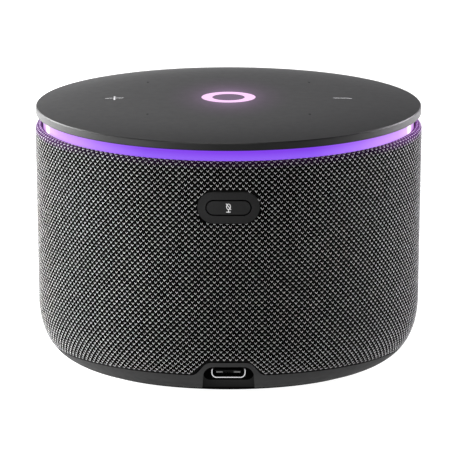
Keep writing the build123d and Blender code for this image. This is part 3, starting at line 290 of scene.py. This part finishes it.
def glowing(name, colour, stops, reach, strength, edge=(0.0, 0.0, 0.0), heights=(0.0, 1.0)):
    """Translucent plastic lit from inside, graded along X up to the reach.

    The edge colour is added at the lower of the two heights and is gone at the upper one.
    """
    material, tree, shader = new_material(name)
    away = weighted_distance(tree, (1 / reach, 0.0, 0.0))
    total = tree.nodes.new("ShaderNodeVectorMath")
    colour_ramp(tree, away, total.inputs[0], stops)
    level = tree.nodes.new("ShaderNodeMapRange")
    level.inputs["From Min"].default_value = heights[0]
    level.inputs["From Max"].default_value = heights[1]
    tree.links.new(along(tree, "Z"), level.inputs["Value"])
    ramp_to(tree, level.outputs["Result"], total.inputs[1], edge, (0.0, 0.0, 0.0), 0.0, 1.0)
    tree.links.new(total.outputs["Vector"], shader.inputs["Emission Color"])
    ramp_to(tree, noise(tree, 300.0), shader.inputs["Base Color"], darker(colour, 0.8), colour)
    shader.inputs["Roughness"].default_value = 0.5
    shader.inputs["Specular IOR Level"].default_value = 0.1
    shader.inputs["Emission Strength"].default_value = strength
    bump(tree, shader, noise(tree, 5000.0), 0.003 * MM)
    return material


# ---------------------------------------------------------------- materials of the CAD nodes

# Reach of the painted glow round the status ring on the plate.
PAINTED_GLOW_START = 5.0 * MM
PAINTED_GLOW_END = 17.0 * MM
PAINTED_GLOW_WEIGHTS = (1.0, 0.6, 0.0)
# Painted shade on the base ring: full at the lower height, gone at the upper.
BASE_SHADE_FULL_Z = 1.0 * MM
BASE_SHADE_GONE_Z = 3.5 * MM
# Painted shadow on the receptacle's steel: full at the upper height, gone at the lower.
INLET_SHADOW_FULL_Z = 6.0 * MM
INLET_SHADOW_GONE_Z = 5.6 * MM
# Heights over the sleeve's rim of the light ring's painted lighter lower edge.
RING_LIT_EDGE_START = 0.4 * MM
RING_LIT_EDGE_END = 2.0 * MM


def plate_material():
    """Touch plate: dark matte plastic, with a painted glow round the status ring that reaches
    further front to back than side to side.
    """
    material, tree, shader = new_material("plate_plastic")
    mottle, gloss = noise(tree, 160.0, detail=4.0), noise(tree, 500.0, detail=2.0)
    ramp_to(tree, mottle, shader.inputs["Base Color"], (0.0062,) * 3, (0.008,) * 3)
    ramp_to(tree, gloss, shader.inputs["Roughness"], 0.36, 0.39)
    shader.inputs["Specular IOR Level"].default_value = 0.25
    bump(tree, shader, noise(tree, 14000.0, detail=2.0), 0.0012 * MM)
    # Painted glow: the plate's emission draws a halo round the status ring.
    glow = weighted_distance(tree, PAINTED_GLOW_WEIGHTS)
    spread = tree.nodes.new("ShaderNodeMapRange")
    spread.inputs["From Min"].default_value = PAINTED_GLOW_START
    spread.inputs["From Max"].default_value = PAINTED_GLOW_END
    tree.links.new(glow, spread.inputs["Value"])
    stops = [(0.0, (0.115, 0.065, 0.135)), (0.2, (0.060, 0.028, 0.068))]
    stops += [(0.45, (0.022, 0.009, 0.025)), (0.75, (0.006, 0.002, 0.007))]
    stops += [(1.0, (0.0, 0.0, 0.0))]
    colour_ramp(tree, spread.outputs["Result"], shader.inputs["Emission Color"], stops)
    shader.inputs["Emission Strength"].default_value = 1.0
    return material


def paint_shade_by_height(material, dark_z, light_z, share):
    """Paint shade into a material's base colour: scale it by a share at one height, and not at the
    other.
    """
    tree = material.node_tree
    shader = tree.nodes["Principled BSDF"]
    plain = shader.inputs["Base Color"].links[0].from_socket
    shade = tree.nodes.new("ShaderNodeVectorMath")
    shade.operation = "MULTIPLY"
    tree.links.new(plain, shade.inputs[0])
    level = tree.nodes.new("ShaderNodeMapRange")
    level.inputs["From Min"].default_value = dark_z
    level.inputs["From Max"].default_value = light_z
    tree.links.new(along(tree, "Z"), level.inputs["Value"])
    ramp_to(tree, level.outputs["Result"], shade.inputs[1], (share,) * 3, (1.0,) * 3, 0.0, 1.0)
    tree.links.new(shade.outputs["Vector"], shader.inputs["Base Color"])


def base_material():
    """Base ring: matte plastic, with painted shade that darkens it towards the foot."""
    material = moulded("base_plastic", (0.038, 0.038, 0.0382), 0.6, shine=0.03)
    # Painted shade: darker towards the foot.
    paint_shade_by_height(material, BASE_SHADE_FULL_Z, BASE_SHADE_GONE_Z, 0.45)
    return material


def inlet_steel():
    """Receptacle's drawn steel: bright below, with a painted shadow at the top where the notch's
    roof hangs over it.
    """
    material = metal("inlet_steel", (0.80, 0.80, 0.82), 0.22)
    # Painted shadow under the notch's roof.
    paint_shade_by_height(material, INLET_SHADOW_FULL_Z, INLET_SHADOW_GONE_Z, 0.02)
    return material


def circuit_board(name):
    """Solder mask with darker copper tracks under it."""
    material, tree, shader = new_material(name)
    coords = tree.nodes.new("ShaderNodeTexCoord")
    cells = tree.nodes.new("ShaderNodeTexVoronoi")
    cells.distance = "MANHATTAN"
    cells.inputs["Scale"].default_value = 350.0
    tree.links.new(coords.outputs["Object"], cells.inputs["Vector"])
    mask = cells.outputs["Distance"]
    ramp_to(tree, mask, shader.inputs["Base Color"], (0.012, 0.10, 0.045), (0.008, 0.055, 0.028))
    ramp_to(tree, noise(tree, 900.0), shader.inputs["Roughness"], 0.25, 0.4)
    bump(tree, shader, mask, 0.02 * MM)
    return material


def cloth(name, colour, threads):
    """Plain woven technical cloth, such as the driver's spider."""
    material, tree, shader = new_material(name)
    coords = tree.nodes.new("ShaderNodeTexCoord")
    weave = tree.nodes.new("ShaderNodeTexChecker")
    weave.inputs["Scale"].default_value = threads
    tree.links.new(coords.outputs["Object"], weave.inputs["Vector"])
    ramp_to(tree, weave.outputs["Fac"], shader.inputs["Base Color"], darker(colour, 0.6), colour)
    bump(tree, shader, weave.outputs["Fac"], 0.03 * MM)
    shader.inputs["Roughness"].default_value = 0.85
    return material


def ring_light_material():
    """Light ring: violet light of its own in front; the lilac and white bands towards the left and
    right ends are a painted highlight, and the lower edge is painted lighter.
    """
    violet = (0.223, 0.05, 0.87)
    white = (1.8, 1.4, 1.8)
    stops = [(0.0, violet), (0.45, violet)]
    stops += [(0.70, (0.38, 0.14, 0.95)), (0.80, (0.49, 0.20, 0.98))]
    stops += [(0.91, (0.56, 0.25, 0.94)), (0.960, (0.70, 0.42, 0.97))]
    # Painted highlight: the white band near each end.
    stops += [(0.969, white), (0.974, white)]
    stops += [(0.984, (0.66, 0.30, 0.80)), (1.0, (0.20, 0.04, 0.32))]
    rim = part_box("fabric_sleeve")[1].z
    return glowing(
        "ring_light",
        (0.03, 0.015, 0.05),
        stops,
        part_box("light_ring")[1].x,
        0.95,
        # Painted light: a paler colour along the ring's lower edge, fading out upwards.
        edge=(0.075, 0.065, 0.10),
        heights=(rim + RING_LIT_EDGE_START, rim + RING_LIT_EDGE_END),
    )


def status_light_material():
    """Status ring: evenly lit pink."""
    pink = (1.0, 0.60, 1.0)
    stops = [(0.0, pink), (1.0, pink)]
    return glowing("status_light", (0.1, 0.07, 0.1), stops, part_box("light_ring")[1].x, 0.95)


def make_slot_materials():
    """One finished material for each of the record's slots."""
    return {
        "plate_plastic": plate_material(),
        "mark_plastic": moulded("mark_plastic", (0.50, 0.50, 0.505), 0.5, shine=0.3),
        "status_light": status_light_material(),
        "ring_light": ring_light_material(),
        "fabric": moulded("hidden_sleeve", (0.02, 0.02, 0.02), 0.9),
        "shell_plastic": moulded("shell_plastic", (0.006, 0.006, 0.006), 0.7, shine=0.2),
        "bezel_plastic": moulded("bezel_plastic", (0.009, 0.009, 0.0092), 0.5, shine=0.22),
        "icon_print": moulded("icon_print", (0.85, 0.85, 0.85), 0.4),
        "base_plastic": base_material(),
        "foot_rubber": moulded("foot_rubber", (0.003,) * 3, 0.8, 4000.0, 0.01 * MM, shine=0.0),
        "inlet_steel": inlet_steel(),
        "steel": metal("plated_steel", (0.80, 0.80, 0.82), 0.22, (1.0, 0.1, 1.0)),
        "inlet_plastic": moulded("inlet_plastic", (0.004, 0.004, 0.004), 0.6, shine=0.15),
        "contact_metal": metal("contact_metal", (0.22, 0.22, 0.22), 0.4),
        "laminate": circuit_board("laminate"),
        "lamp_plastic": moulded("lamp_plastic", (0.80, 0.76, 0.50), 0.3),
        "foam": moulded("foam", (0.02, 0.02, 0.022), 0.95, 2500.0, 0.05 * MM, 0.4),
        "carrier_plastic": moulded("carrier_plastic", (0.75, 0.75, 0.75), 0.5),
        "ferrite": moulded("ferrite", (0.03, 0.03, 0.034), 0.65, 3000.0, 0.02 * MM, 0.3),
        "plated_iron": metal("plated_iron", (0.62, 0.60, 0.52), 0.4),
        "paper_cone": moulded("paper_cone", (0.025, 0.025, 0.028), 0.9, 2200.0, 0.04 * MM, 0.4),
        "coil_winding": metal("coil_winding", (0.80, 0.36, 0.20), 0.3, (0.02, 0.02, 1.0)),
        "spider_cloth": cloth("spider_cloth", (0.50, 0.30, 0.10), 2500.0),
        "surround_rubber": moulded("surround_rubber", (0.012, 0.012, 0.013), 0.6),
        "aluminium": metal("milled_aluminium", (0.78, 0.78, 0.80), 0.35, (0.1, 1.0, 1.0)),
        "cable_film": moulded("cable_film", (0.48, 0.21, 0.035), 0.25),
        "wire_cover": moulded("wire_cover", (0.30, 0.015, 0.012), 0.45),
    }


def dress_nodes():
    """Give every CAD node the finished material of its slot."""
    finished = make_slot_materials()
    for part in frame["record"]["subparts"]:
        for slot in NODES[part["node"]].material_slots:
            slot.material = finished[part["material_slot"]]


# ---------------------------------------------------------------- knitted sleeve

STITCHES = 189
ROW_PITCH = 0.787 * MM
ROW_START_Z = 56.55 * MM
COLUMN_SHIFT = -0.35 * MM
RIM_RADIUS = 1.1 * MM
EDGE_ROLL = 0.45 * MM
EDGE_DROP = 0.95 * MM
GROUND_LIFT = -0.04 * MM
GROUND_RELIEF = 0.02 * MM
LOOP_LIFT = 0.04 * MM
LOOP_SINK = 0.17 * MM
LOOP_TUCK = 0.015 * MM
YARN_RADIUS = 0.067 * MM
YARN_FLATNESS = 0.6
LOOP_HALF_WIDTH = 0.37 * MM
LOOP_RISE = 0.62 * MM
LOOP_MARGIN = 0.14 * MM
LOOP_START_SHARE = 0.6
LOOP_STEPS = 7
LOOP_ROUNDING = 0.02
LOOP_LOW = 0.14
YARN_TAPER = 0.25
YARN_SIDES = [-35, 30, 90, 150, 215]
FIRST_ROW_CLEARANCE = 0.3
LAST_ROW_CLEARANCE = 0.2
WIDTH_SPREAD = 0.05
RISE_SPREAD = 0.06
LIFT_SPREAD = 0.012 * MM
PLACE_SPREAD = 0.02 * MM
TONE = 0.8
TONE_SPREAD = 0.1
ARCH_TOP_Z = 9.7 * MM
ARCH_FLANK_ANGLE = math.radians(51.86)
ARCH_FLANK_REACH = 10.59 * MM
ARCH_TOP_ROUNDING = 1.0 * MM
ARCH_FOOT_ROUNDING = 0.95 * MM
BEZEL_CLEARANCE = 0.05 * MM
HEM_START = 0.02 * MM
RIM_SAMPLES = 10
RING_OVERLAP = 0.3 * MM
INNER_SAMPLES = 5
WALL_SAMPLES = 120
ROLL_SHARE = 0.98
PROBE_STEP = 0.01 * MM
SPILL_DEPTH = 2.0 * MM
SPILL_TOP = 0.1 * MM


def sleeve_profile():
    """Outside of the sleeve's CAD solid from its hem up and over its rim: radii and heights."""
    low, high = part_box("fabric_sleeve")
    mesh = NODES["fabric_sleeve"].data
    tree = BVHTree.FromPolygons(
        [v.co for v in mesh.vertices], [tuple(p.vertices) for p in mesh.polygons]
    )
    away = Vector((0.8, 0.6, 0.0))
    radii, heights = [], []
    for z in np.linspace(low.z + HEM_START, high.z - RIM_RADIUS, WALL_SAMPLES):
        hit = tree.ray_cast(away * 0.1 + Vector((0, 0, z)), -away)[0]
        radii.append(math.hypot(hit.x, hit.y))
        heights.append(z)
    centre = radii[-1] - RIM_RADIUS
    for angle in np.linspace(0, math.pi / 2, RIM_SAMPLES)[1:]:
        radii.append(centre + RIM_RADIUS * math.cos(angle))
        heights.append(high.z - RIM_RADIUS + RIM_RADIUS * math.sin(angle))
    ring_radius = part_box("light_ring")[1].x
    for radius in np.linspace(centre, ring_radius + RING_OVERLAP, INNER_SAMPLES)[1:]:
        radii.append(radius)
        heights.append(high.z)
    return np.array(radii), np.array(heights)


class Sleeve:
    """Maps (angle, distance along the profile, lift) to a point on the sleeve."""

    def __init__(self):
        self.radii, self.heights = sleeve_profile()
        steps = np.hypot(np.diff(self.radii), np.diff(self.heights))
        self.along = np.concatenate([[0.0], np.cumsum(steps)])
        self.length = self.along[-1]
        run_r = np.gradient(self.radii, self.along)
        run_z = np.gradient(self.heights, self.along)
        size = np.hypot(run_r, run_z)
        self.out_r = run_z / size
        self.out_z = -run_r / size
        self.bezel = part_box("mute_bezel")
        self.hem_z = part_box("fabric_sleeve")[0].z

    def flat_point(self, angle, along):
        """Point on the smooth profile and its outward normal."""
        radius = np.interp(along, self.along, self.radii)
        height = np.interp(along, self.along, self.heights)
        out_r = np.interp(along, self.along, self.out_r)
        out_z = np.interp(along, self.along, self.out_z)
        across, back = np.sin(angle), -np.cos(angle)
        point = np.stack([radius * across, radius * back, height], -1)
        normal = np.stack([out_r * across, out_r * back, out_z], -1)
        return point, normal

    def hole_distance(self, point):
        """Distance from the nearest cut-out, negative inside it: the bezel's and the arch's."""
        x, z = point[..., 0], point[..., 2]
        low, high = self.bezel
        half_height = (high.z - low.z) / 2 + BEZEL_CLEARANCE
        half_straight = (high.x - low.x) / 2 - (high.z - low.z) / 2
        beside = np.maximum(np.abs(x) - half_straight, 0)
        pill = np.hypot(beside, z - (high.z + low.z) / 2) - half_height
        across, up = math.sin(ARCH_FLANK_ANGLE), math.cos(ARCH_FLANK_ANGLE)
        flank = np.abs(x) * across + z * up - ARCH_FLANK_REACH
        over, round_top = z - ARCH_TOP_Z, ARCH_TOP_ROUNDING
        corner = np.hypot(np.maximum(flank + round_top, 0), np.maximum(over + round_top, 0))
        arch = np.minimum(np.maximum(flank, over), -round_top) + corner
        hem, round_foot = z - self.hem_z, ARCH_FOOT_ROUNDING
        corner = np.hypot(np.maximum(round_foot - arch, 0), np.maximum(round_foot - hem, 0))
        arch = np.maximum(np.minimum(arch, hem), round_foot) - corner
        away = np.where(point[..., 1] > 0, 1.0, 0.0)
        return np.minimum(pill, arch) + away

    def pushed_clear(self, angle, along, margin):
        """The same places, moved out where they lie nearer than a margin to a cut-out."""
        point, _ = self.flat_point(angle, along)
        near = self.hole_distance(point)
        step = PROBE_STEP
        run_x = (self.hole_distance(point + np.array([step, 0, 0])) - near) / step
        run_z = (self.hole_distance(point + np.array([0, 0, step])) - near) / step
        size = np.maximum(np.hypot(run_x, run_z), 0.1)
        shift = np.maximum(margin - near, 0)
        moved_x = point[..., 0] + shift * run_x / size
        moved_z = point[..., 2] + shift * run_z / size
        wall = slice(0, WALL_SAMPLES)
        moved_along = np.interp(moved_z, self.heights[wall], self.along[wall])
        radius = np.interp(moved_along, self.along, self.radii)
        moved_angle = np.arcsin(np.clip(moved_x / radius, -1, 1))
        close = shift > 0
        return np.where(close, moved_angle, angle), np.where(close, moved_along, along)

    def place(self, angle, along, lift):
        """Point on the cloth, which rolls inwards at its hem and round its cut-outs."""
        point, normal = self.flat_point(angle, along)
        near = np.minimum(self.hole_distance(point), along)
        share = np.clip(1 - near / EDGE_ROLL, 0, 1)
        drop = EDGE_DROP * (1 - np.sqrt(1 - share**2 * ROLL_SHARE))
        return point + normal * (lift - drop)[..., None], normal


def mesh_object(name, points, faces, material):
    """Smooth-shaded mesh piece from point and face arrays."""
    mesh = bpy.data.meshes.new(name)
    mesh.from_pydata(points.tolist(), [], faces.tolist())
    mesh.materials.append(material)
    mesh.polygons.foreach_set("use_smooth", [True] * len(mesh.polygons))
    mesh.update()
    piece = bpy.data.objects.new(name, mesh)
    bpy.context.scene.collection.objects.link(piece)
    return piece


def spill(tree, shader, strength):
    """Painted light from the ring on the sleeve's rim: violet emission, strongest at the left and
    right.
    """
    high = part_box("fabric_sleeve")[1]
    rim, reach = high.z, high.x
    share = maths(tree, "MULTIPLY")
    height = along(tree, "Z")
    ramp_to(tree, height, share.inputs[0], 0.0, strength, rim - SPILL_DEPTH, rim + SPILL_TOP)
    sideways = weighted_distance(tree, (1.0, 0.0, 0.0))
    ramp_to(tree, sideways, share.inputs[1], 0.1, 1.0, 0.75 * reach, 0.97 * reach)
    tree.links.new(share.outputs["Value"], shader.inputs["Emission Strength"])
    mottle = noise(tree, 2000.0)
    ramp_to(tree, mottle, shader.inputs["Emission Color"], (0.30, 0.06, 0.50), (0.50, 0.14, 0.70))


def ground_material():
    """Black ground yarn of the knit."""
    material, tree, shader = new_material("ground_yarn")
    fibres = noise(tree, 9000.0, detail=4.0, roughness=0.7)
    ramp_to(tree, fibres, shader.inputs["Base Color"], (0.0004,) * 3, (0.0025,) * 3)
    shader.inputs["Roughness"].default_value = 0.95
    shader.inputs["Specular IOR Level"].default_value = 0.0
    shader.inputs["Sheen Weight"].default_value = 0.035
    bump(tree, shader, fibres, 0.06 * MM)
    # Painted light from the ring on the rim.
    spill(tree, shader, 0.35)
    return material


def loop_material():
    """Light grey yarn of the raised loops, with its fibres and a little sheen."""
    material, tree, shader = new_material("loop_yarn")
    shade = tree.nodes.new("ShaderNodeAttribute")
    shade.attribute_name = "shade"
    fibres = noise(tree, 12000.0, detail=3.0, roughness=0.7)
    mixed = maths(tree, "MULTIPLY")
    tree.links.new(shade.outputs["Fac"], mixed.inputs[0])
    spread = tree.nodes.new("ShaderNodeMapRange")
    spread.inputs["To Min"].default_value = 0.75
    spread.inputs["To Max"].default_value = 1.2
    tree.links.new(fibres, spread.inputs["Value"])
    tree.links.new(spread.outputs["Result"], mixed.inputs[1])
    dark, light = (0.33, 0.33, 0.332), (0.86, 0.86, 0.865)
    tone = mixed.outputs["Value"]
    ramp_to(tree, tone, shader.inputs["Base Color"], dark, light, 0.3, 1.1)
    shader.inputs["Roughness"].default_value = 0.8
    shader.inputs["Specular IOR Level"].default_value = 0.1
    shader.inputs["Sheen Weight"].default_value = 0.08
    bump(tree, shader, fibres, 0.03 * MM)
    # Painted light from the ring on the rim.
    spill(tree, shader, 0.8)
    return material


def make_ground(sleeve):
    """Ground of the knit: a lumpy sheet with its cut-outs."""
    columns = STITCHES * 2
    rows = int(round(sleeve.length / ROW_PITCH)) * 2 + 1
    angle = np.arange(columns) * 2 * math.pi / columns
    along = np.linspace(0, sleeve.length, rows)
    angle, along = np.meshgrid(angle, along)
    lumps = np.cos(np.pi * np.arange(columns))[None, :] * np.cos(np.pi * np.arange(rows))[:, None]
    inside = sleeve.hole_distance(sleeve.flat_point(angle, along)[0]) < 0
    angle, along = sleeve.pushed_clear(angle, along, 0.0)
    point, _ = sleeve.place(angle, along, GROUND_LIFT + GROUND_RELIEF * lumps)

    index = np.arange(rows * columns).reshape(rows, columns)
    right = np.roll(index, -1, axis=1)
    faces = np.stack([index[:-1], right[:-1], right[1:], index[1:]], -1).reshape(-1, 4)
    faces = faces[~inside.reshape(-1)[faces].all(axis=1)]
    used, renumbered = np.unique(faces, return_inverse=True)
    points = point.reshape(-1, 3)[used]
    return mesh_object("knit_ground", points, renumbered.reshape(-1, 4), ground_material())


def loop_places(sleeve):
    """Angle and place along the profile of every loop, each row half a stitch from the last."""
    start = np.interp(ROW_START_Z, sleeve.heights[:WALL_SAMPLES], sleeve.along[:WALL_SAMPLES])
    below = int((start - FIRST_ROW_CLEARANCE * ROW_PITCH) / ROW_PITCH)
    above = int((sleeve.length - start - LAST_ROW_CLEARANCE * ROW_PITCH) / ROW_PITCH)
    row, column = np.meshgrid(np.arange(-below, above + 1), np.arange(STITCHES), indexing="ij")
    shift = COLUMN_SHIFT / float(sleeve.radii.max())
    angle = (column + 0.5 * (row % 2)) * 2 * math.pi / STITCHES + shift
    along = start + row * ROW_PITCH
    angle, along = angle.ravel(), along.ravel()
    near = sleeve.hole_distance(sleeve.flat_point(angle, along)[0])
    clear = near > LOOP_MARGIN * LOOP_START_SHARE
    return angle[clear], along[clear]


def make_loops(sleeve):
    """Raised V-shaped loops of light yarn."""
    rng = np.random.default_rng(SEED)
    angle, along = loop_places(sleeve)
    count = len(angle)

    # A loop's two legs rise from its low point and sink into the ground at their ends.
    reach = np.linspace(-1, 1, LOOP_STEPS)
    radius = np.interp(along, sleeve.along, sleeve.radii)[:, None]
    across = reach[None, :] * LOOP_HALF_WIDTH * rng.normal(1.0, WIDTH_SPREAD, (count, 1))
    rise = LOOP_RISE * (np.sqrt(reach**2 + LOOP_ROUNDING) - LOOP_LOW)[None, :]
    rise = rise * rng.normal(1.0, RISE_SPREAD, (count, 1))
    lift = LOOP_LIFT - LOOP_SINK * np.abs(reach) ** 6 - LOOP_TUCK * (1 - reach**2) ** 4
    lift = lift[None, :] + rng.normal(0, LIFT_SPREAD, (count, 1))
    moved = across + rng.normal(0, PLACE_SPREAD, (count, 1))
    leg_angle = angle[:, None] + moved / radius
    leg_along = np.clip(along[:, None] + rise, 0, sleeve.length)
    leg_angle, leg_along = sleeve.pushed_clear(leg_angle, leg_along, LOOP_MARGIN)
    path, normal = sleeve.place(leg_angle, leg_along, lift)

    ahead = np.gradient(path, axis=1)
    ahead /= np.maximum(np.linalg.norm(ahead, axis=2, keepdims=True), 1e-9)
    side = np.cross(normal, ahead)
    side /= np.maximum(np.linalg.norm(side, axis=2, keepdims=True), 1e-9)
    thick = YARN_RADIUS * (1 - YARN_TAPER * reach**2)[None, :, None, None]
    turn = np.radians(YARN_SIDES)
    ring = np.cos(turn)[None, None, :, None] * side[:, :, None, :]
    raised = YARN_FLATNESS * np.sin(turn)
    ring = ring + raised[None, None, :, None] * normal[:, :, None, :]
    points = path[:, :, None, :] + thick * ring

    steps, sides = len(reach), len(turn)
    index = np.arange(count * steps * sides).reshape(count, steps, sides)
    faces = np.stack(
        [index[:, :-1, :-1], index[:, 1:, :-1], index[:, 1:, 1:], index[:, :-1, 1:]], -1
    )
    piece = mesh_object("knit_loops", points.reshape(-1, 3), faces.reshape(-1, 4), loop_material())
    shade = piece.data.attributes.new("shade", "FLOAT", "POINT")
    tone = np.repeat(rng.normal(TONE, TONE_SPREAD, count), steps * sides)
    shade.data.foreach_set("value", tone.astype(np.float32))
    return piece


def make_sleeve():
    """Knitted sleeve in place of the CAD sleeve: ground sheet and loops."""
    sleeve = Sleeve()
    ground = make_ground(sleeve)
    loops = make_loops(sleeve)
    for piece in (ground, loops):
        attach(piece, "housing")
    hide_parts("fabric_sleeve")


# ---------------------------------------------------------------- scene

make_camera()
make_studio()
dress_nodes()
make_sleeve()
